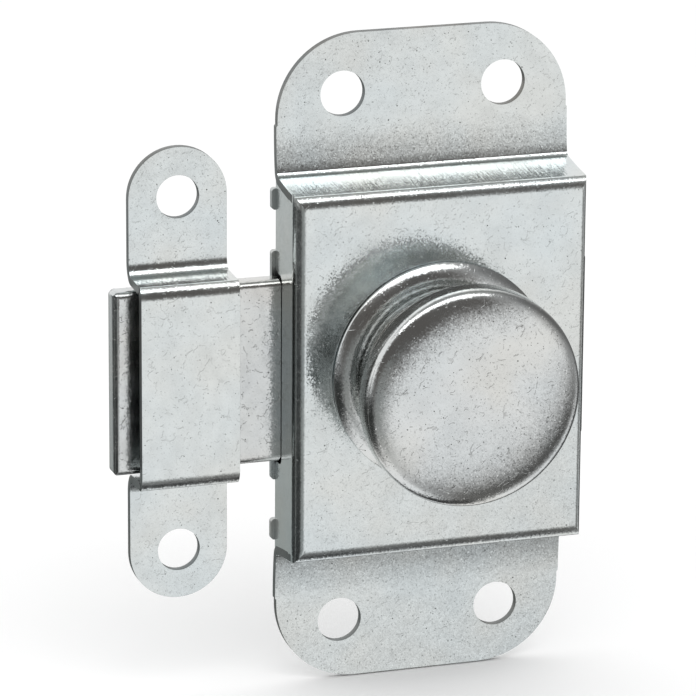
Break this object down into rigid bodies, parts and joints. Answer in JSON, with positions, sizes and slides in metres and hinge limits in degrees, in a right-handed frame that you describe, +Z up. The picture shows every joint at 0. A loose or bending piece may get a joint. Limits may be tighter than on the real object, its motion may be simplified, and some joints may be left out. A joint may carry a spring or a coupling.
{
  "type": "sliding bolt",
  "caption": "Surface-mounted door bolt in a pressed case: turning the round mushroom knob slides a flat bolt into a separate strap keeper.",
  "frame": {"origin": "centre of the four case screw holes on the door face, on the knob's axis", "axes": "+Z up along the case, +X to the right seen from the front, the front faces -Y and the screws go in along +Y"},
  "size_m": [0.059, 0.0215, 0.08],
  "materials": {
    "zinc_sheet": "bright zinc plated sheet, satin",
    "zinc_plate_rear": "zinc plated sheet, dull",
    "bolt_zinc": "zinc plated bar, satin",
    "knob_zinc": "zinc plated pressing, satin",
    "inner_steel": "plain steel, lightly oiled",
    "rivet_zinc": "zinc plated",
    "spring_steel": "blued spring steel",
    "brass_bearing": "turned brass"
  },
  "bodies": {
    "case": {"case_shell": "zinc_sheet", "back_plate": "zinc_plate_rear", "keeper_strap": "zinc_sheet", "spindle_bush": "brass_bearing", "thrust_washer": "brass_bearing", "spring_washer": "spring_steel", "detent_spring": "spring_steel", "spring_rivets": "rivet_zinc"},
    "knob": {"knob_cap": "knob_zinc", "knob_shell": "knob_zinc", "knob_core": "inner_steel", "knob_pin": "rivet_zinc", "spindle": "inner_steel", "crank_arm": "inner_steel", "crank_pin": "rivet_zinc"},
    "roller": {"crank_roller": "brass_bearing"},
    "bolt": {"bolt_bar": "bolt_zinc", "driver_fork": "inner_steel", "fork_rivets": "rivet_zinc"}
  },
  "joints": [
    {"name": "knob_turn", "type": "hinge", "parent": "case", "child": "knob", "pos_m": [0, 0, 0], "axis": [0, 1, 0], "range_deg": [0, 90]},
    {"name": "bolt_slide", "type": "slide", "parent": "case", "child": "bolt", "axis": [1, 0, 0], "range_m": [0, 0.017], "deforming": ["detent_spring"]},
    {"name": "roller_spin", "type": "hinge", "parent": "knob", "child": "roller", "pos_m": [-0.0085, -0.003, 0.0085], "axis": [0, 1, 0], "continuous": true}
  ],
  "couplings": [
    {"joint": "bolt_slide", "follows": "knob_turn", "m_per_rad": 0.010822}
  ]
}
